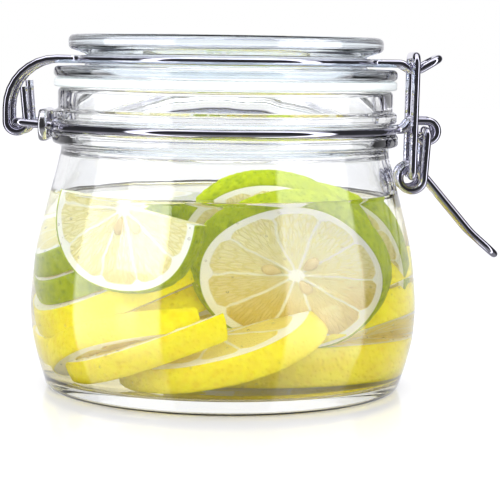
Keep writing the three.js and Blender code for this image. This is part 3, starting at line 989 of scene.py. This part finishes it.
# %% [markdown]
# A slice from the middle of a fruit has pips, or the beds that they fell out of. They lie near the core
# with their points towards it. A pip is turned like the jar from a small outline, flattened, and pressed
# half into the cut face, so that it catches a shadow where a painted one would look flat. Each row gives
# a slice, the distance of its face from its middle, the pip's direction and its distance from the core.

# %% Pips
PIP_OUTLINE = [(0, 0), (0.6, 0.7), (1.3, 2.2), (1.5, 3.4), (0.9, 4.7), (0, 5.1)]
PIP_FLAT = 0.6
PIP_SIDES = 20
PIPS = [
    (RIGHT_FRONT, RIGHT_LEAN, 2.8, -63, 1.8),
    (RIGHT_FRONT, RIGHT_LEAN, 2.8, 164, 3.6),
    (RIGHT_FRONT, RIGHT_LEAN, 2.8, 42, 2.4),
    (HALF_LIME, HALF_LIME_FACING, 2.7, -100, 2.2),
    (HALF_LIME, HALF_LIME_FACING, 2.7, -52, 3.0),
]


def pip_material():
    material, shader, w = new_material("citrus pip", {"Specular IOR Level": 0.1})
    grain = w.noise(w.place(), 700.0, 2.0)
    w.feed(shader.inputs["Base Color"], w.mix(grain, (0.66, 0.50, 0.20), (0.84, 0.74, 0.40)))
    add_marks(w, shader, 900.0, 0.35, 0.15, 0.3)
    return material


def pressed_pip(number, at, facing, depth, angle_deg, from_core):
    pip = turned(f"pip_{number}", PIP_OUTLINE, PIP, sides=PIP_SIDES)
    out = Vector(facing).normalized()
    across = (Vector((1, 0, 0)) - out * out.x).normalized()
    turn = math.radians(angle_deg)
    along = across * math.cos(turn) + out.cross(across) * math.sin(turn)
    foot = (Vector(at) + out * depth + along * from_core) * MM
    place = Matrix((out.cross(along), out * PIP_FLAT, along)).transposed().to_4x4()
    place.translation = foot
    pip.data.transform(place)
    return pip


PIP = pip_material()
pips = joined("pips", [pressed_pip(k, *row) for k, row in enumerate(PIPS)])
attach(pips, "jar")
print("pips:", len(PIPS))

# %% [markdown]
# The liquid is a solid of its own, so that light bends where it meets the glass and the fruit. It reaches
# a little way into the wall, because an air gap there would turn the whole side into a mirror. Its top
# climbs the glass in a small curve, the meniscus.

# %% The liquid
LIQUID_Z = 55.0
WALL_BITE = 0.15
MENISCUS = 0.9
MENISCUS_CURVE = [(0, 1), (0.5, 0.45), (1.3, 0.15), (2.6, 0)]
wall_r = np.interp(LIQUID_Z + MENISCUS, [z for _, z in SIDE], [r for r, _ in SIDE]) - WALL + WALL_BITE
liquid = turned("liquid", [
    (0, BASE_T - WALL_BITE), (INNER_HEEL_R + WALL_BITE, BASE_T - WALL_BITE, INNER_HEEL_ROUND),
    *[(r, z) for r, z in inner_side(WALL_BITE) if z < LIQUID_Z],
    *[(wall_r - inwards, LIQUID_Z + MENISCUS * climb) for inwards, climb in MENISCUS_CURVE], (0, LIQUID_Z),
], LIQUID)
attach(liquid, "jar")
print("liquid up to", LIQUID_Z, "mm")

# %% [markdown]
# Fine air bubbles cling to the cut fruit. Placing them by hand would take hours, so Geometry Nodes
# scatter points over the slices with a fixed seed and put a small ball on each. A bubble is air inside
# the liquid, so its index is about the inverse of the liquid's. Bubbles that would stick out are removed.

# %% Geometry Nodes: bubbles on the fruit
BUBBLES_PER_CM2 = 1.6
BUBBLE_R = 0.32 * MM
BUBBLE_SEED = 11
SMALLEST = 0.35
LARGEST = 1.2
SUBDIVISIONS = 2
FACES_PER_BUBBLE = 80
BUBBLE_INDEX = 0.75
GAP_TO_GLASS = 1.0
GAP_TO_SURFACE = 1.0
GAP_TO_BASE = 0.8


def bubble_tree():
    tree, given, out, ids = node_tree("bubbles on a surface", [
        ("Per Square Metre", "NodeSocketFloat", 8000.0), ("Radius", "NodeSocketFloat", 0.0003),
        ("Seed", "NodeSocketInt", 0), ("Finish", "NodeSocketMaterial", None),
    ])
    scatter = tree.nodes.new("GeometryNodeDistributePointsOnFaces")
    ball = tree.nodes.new("GeometryNodeMeshIcoSphere")
    place = tree.nodes.new("GeometryNodeInstanceOnPoints")
    size = tree.nodes.new("FunctionNodeRandomValue")
    smooth = tree.nodes.new("GeometryNodeSetShadeSmooth")
    realize = tree.nodes.new("GeometryNodeRealizeInstances")
    paint = tree.nodes.new("GeometryNodeSetMaterial")
    tree.links.new(given.outputs["Per Square Metre"], scatter.inputs["Density"])
    tree.links.new(given.outputs["Seed"], scatter.inputs["Seed"])
    tree.links.new(given.outputs["Seed"], size.inputs["Seed"])
    tree.links.new(given.outputs["Radius"], ball.inputs["Radius"])
    ball.inputs["Subdivisions"].default_value = SUBDIVISIONS
    size.inputs[2].default_value = SMALLEST
    size.inputs[3].default_value = LARGEST
    tree.links.new(size.outputs[1], place.inputs["Scale"])
    tree.links.new(ball.outputs["Mesh"], place.inputs["Instance"])
    tree.links.new(given.outputs["Finish"], paint.inputs["Material"])
    chain(tree, given, scatter, place, realize, smooth, paint, out)
    return tree, ids


BUBBLE_TREE, BUBBLE_IDS = bubble_tree()
AIR = new_material("air bubble", {**CLEAR, "Base Color": (1, 1, 1, 1), "IOR": BUBBLE_INDEX})[0]


def scatter_bubbles(source, seed):
    holder = placed("bubble_source", source.data.copy())
    return grown(holder, "bubbles", BUBBLE_TREE, BUBBLE_IDS, {
        "Per Square Metre": BUBBLES_PER_CM2 * 1e4, "Radius": BUBBLE_R, "Seed": seed, "Finish": AIR,
    })


def drop_outside(piece):
    """Removes the bubbles that stick out of the liquid, into the glass or into the air."""
    bm = bmesh.new()
    bm.from_mesh(piece.data)
    limit_z = [z * MM for _, z in SIDE]
    limit_r = [(r - WALL - GAP_TO_GLASS) * MM for r, _ in SIDE]
    top, base = (LIQUID_Z - GAP_TO_SURFACE) * MM, (BASE_T + GAP_TO_BASE) * MM
    gone = [v for v in bm.verts if v.co.z > top or v.co.z < base
            or math.hypot(v.co.x, v.co.y) > np.interp(v.co.z, limit_z, limit_r)]
    seen = set()
    while gone:
        v = gone.pop()
        if v in seen:
            continue
        seen.add(v)
        gone += [e.other_vert(v) for e in v.link_edges]
    bmesh.ops.delete(bm, geom=list(seen), context="VERTS")
    bm.to_mesh(piece.data)
    bm.free()


bubbles = joined("bubbles", [scatter_bubbles(lemons, BUBBLE_SEED), scatter_bubbles(limes, BUBBLE_SEED + 1)])
drop_outside(bubbles)
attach(bubbles, "jar")
print("bubbles:", len(bubbles.data.polygons) // FACES_PER_BUBBLE)

# %% [markdown]
# The studio is a white sweep, lit so brightly that it has no edge. Chrome and glass need something to
# reflect, though: two tall soft boxes and the dark room between them. The sky shader is plain white where
# it is seen directly, a stronger white for what it lights, and shows the soft boxes only to mirror-like
# reflections. Polished glass has the whole boxes, and the wires a narrow strip of each. What shows through
# the glass from the camera's side of the room is a pale lilac.

# %% Studio light
BOXES_DEG = [(-97, -36), (38, 92)]
STRIPS_DEG = [(-66, -52), (60, 76)]
BOX_GLOW = 5.2
STRIP_GLOW = 3.0
ROOM_GLOW = 0.04
EXTRA_LIGHT = 2.4
MIRROR_TINT = (0.95, 0.95, 1)
NEAR_SIDE_TINT = (0.58, 0.56, 0.70)


def bands(w, value, spans, soft):
    """One where value lies in any of the spans, and zero elsewhere, with soft edges."""
    parts = []
    for low, high in spans:
        rise = w.ramp(value, low - soft, low + soft)
        fall = w.ramp(value, high - soft, high + soft, 1.0, 0.0)
        parts.append(w.product(rise, fall))
    return w.total(*parts)


def studio_world():
    world = bpy.data.worlds.new("studio")
    bpy.context.scene.world = world
    world.use_nodes = True
    world.node_tree.nodes.clear()
    w = Wiring(world.node_tree)
    axes = w.split(w.node("ShaderNodeTexCoord").outputs["Generated"])
    back, height = axes["Y"], axes["Z"]
    round_deg = w.product(w.math("ARCTAN2", axes["X"], w.product(back, -1.0)), 180 / math.pi)
    tall = w.product(w.ramp(height, -0.5, -0.1, 0.25, 1.0), w.ramp(height, 0.72, 0.78, 1.0, 0.0))
    boxes = w.product(bands(w, round_deg, BOXES_DEG, 2), tall)
    on_glass = w.math("MULTIPLY_ADD", boxes, BOX_GLOW, w.ramp(back, 0.2, 0.85, 0.22, 0.95))
    behind = w.ramp(back, 0.72, 0.97, 0.0, 0.95)
    above = w.ramp(height, 0.75, 0.93, 0.0, 1.5)
    below = w.ramp(height, -0.6, -0.25, 0.3, 0.0)
    strips = w.math("MULTIPLY_ADD", bands(w, round_deg, STRIPS_DEG, 3), STRIP_GLOW, ROOM_GLOW)
    on_steel = w.total(strips, w.total(behind, above, below))
    rays = w.node("ShaderNodeLightPath").outputs
    polished, through = rays["Is Singular Ray"], rays["Is Transmission Ray"]
    strength = w.total(w.product(on_glass, polished), w.product(on_steel, w.less(1.0, polished)))
    mirror_ray = w.product(rays["Is Glossy Ray"], w.less(1.0, through))
    lighting = w.math("GREATER_THAN", rays["Diffuse Depth"], 0.5)
    seen_through = w.product(through, w.less(1.0, lighting))
    from_side = w.product(seen_through, w.ramp(back, -0.5, 0.35, 1.0, 0.0))
    backdrop = w.mix(from_side, (1, 1, 1), NEAR_SIDE_TINT)
    brightness = w.math("MULTIPLY_ADD", lighting, EXTRA_LIGHT, 1.0)
    mirror = w.node("ShaderNodeBackground", {"Color": (*MIRROR_TINT, 1), "Strength": strength})
    plain = w.node("ShaderNodeBackground", {"Color": backdrop, "Strength": brightness})
    both = w.node("ShaderNodeMixShader", {0: mirror_ray, 1: plain.outputs[0], 2: mirror.outputs[0]})
    w.node("ShaderNodeOutputWorld", {"Surface": both.outputs[0]})


studio_world()

# %% [markdown]
# The floor is a wide sheet in a pale tone. It glows a little, because the sky alone would leave it darker
# than the backdrop. Two weak area lamps soften the shadow under the jar.

# %% Floor and lamps
FLOOR_HALF = 3.0
FLOOR_TONE = (0.33, 0.33, 0.335)
FLOOR_GLOW = 0.25
LAMP_AIM = Vector((0, 0, 40 * MM))


def floor():
    material, shader, w = new_material("pale sweep", {
        "Base Color": (*FLOOR_TONE, 1), "Emission Color": (1, 1, 1, 1), "Emission Strength": FLOOR_GLOW,
    })
    add_marks(w, shader, 40.0, 0.1, 0.05, 0.0)
    corners = [(x * FLOOR_HALF, y * FLOOR_HALF, 0) for x, y in ((-1, -1), (1, -1), (1, 1), (-1, 1))]
    piece = new_piece("floor", corners, [(0, 1, 2, 3)], material)
    piece.visible_glossy = False


def soft_box(name, place, size, watts):
    lamp = bpy.data.lights.new(name, "AREA")
    lamp.size = size
    lamp.energy = watts
    lit = placed(name, lamp)
    lit.location = place
    lit.rotation_euler = (LAMP_AIM - Vector(place)).to_track_quat("-Z", "Y").to_euler()
    lit.visible_glossy = False


floor()
soft_box("top_light", (0.1, -0.1, 1.1), 1.2, 9)
soft_box("left_light", (-0.9, -0.7, 0.5), 0.7, 6)

# %% [markdown]
# The Standard view leaves white as white. A ray passes many faces of glass, liquid and fruit, so it may
# bounce more often than usual.

# %% Render settings
BOUNCES = 16
scene = bpy.context.scene
scene.view_settings.view_transform = "Standard"
scene.cycles.max_bounces = BOUNCES
scene.cycles.transmission_bounces = BOUNCES
scene.cycles.caustics_refractive = True
